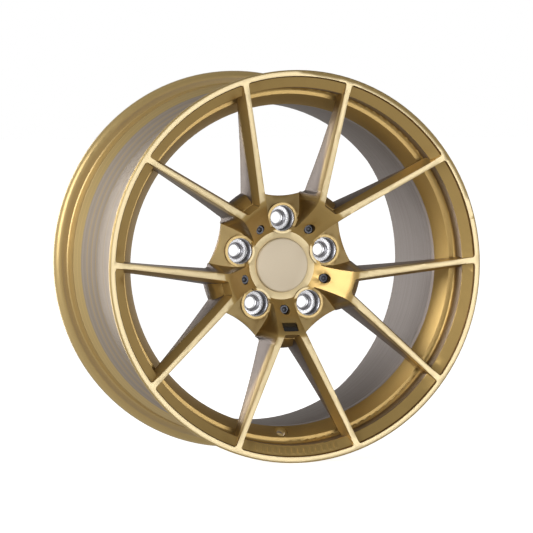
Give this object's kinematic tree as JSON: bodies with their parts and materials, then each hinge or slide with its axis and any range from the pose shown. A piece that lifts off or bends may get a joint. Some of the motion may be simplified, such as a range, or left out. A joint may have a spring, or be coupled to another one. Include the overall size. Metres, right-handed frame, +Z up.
{
  "type": "wheel rim",
  "caption": "Forged racing wheel rim with paired thin spokes, deep conical hub, pressed-in bolt seats, a blank centre cap and a wide two-step rim.",
  "frame": {"origin": "centre of the wheel: on the axle line, midway across the rim's overall width", "axes": "the axle line is Y with the street side facing -Y; +Z up, through the middle of one bolt hole"},
  "size_m": [0.497, 0.254, 0.497],
  "materials": {
    "gold_paint": "satin metallic gold",
    "barrel_paint": "satin grey with fine turned lines",
    "bare_steel": "turned",
    "black_screw": "gloss black",
    "black_gloss": "gloss",
    "cap_paint": "satin",
    "cap_face": "satin",
    "spring_wire": "drawn wire"
  },
  "bodies": {
    "wheel": {"forged_disc": "gold_paint", "inner_barrel": "barrel_paint", "lug_seat_1": "bare_steel", "lug_seat_2": "bare_steel", "lug_seat_3": "bare_steel", "lug_seat_4": "bare_steel", "lug_seat_5": "bare_steel", "web_screw_1": "black_screw", "web_screw_2": "black_screw", "web_screw_3": "black_screw", "web_screw_4": "black_screw", "web_screw_5": "black_screw", "badge_plate": "black_gloss"},
    "cap": {"cap_shell": "cap_paint", "cap_disc": "cap_face", "cap_spring_ring": "spring_wire"}
  },
  "joints": [
    {"name": "cap_pull", "type": "slide", "parent": "wheel", "child": "cap", "axis": [0, -1, 0], "range_m": [0, 0.03]}
  ]
}
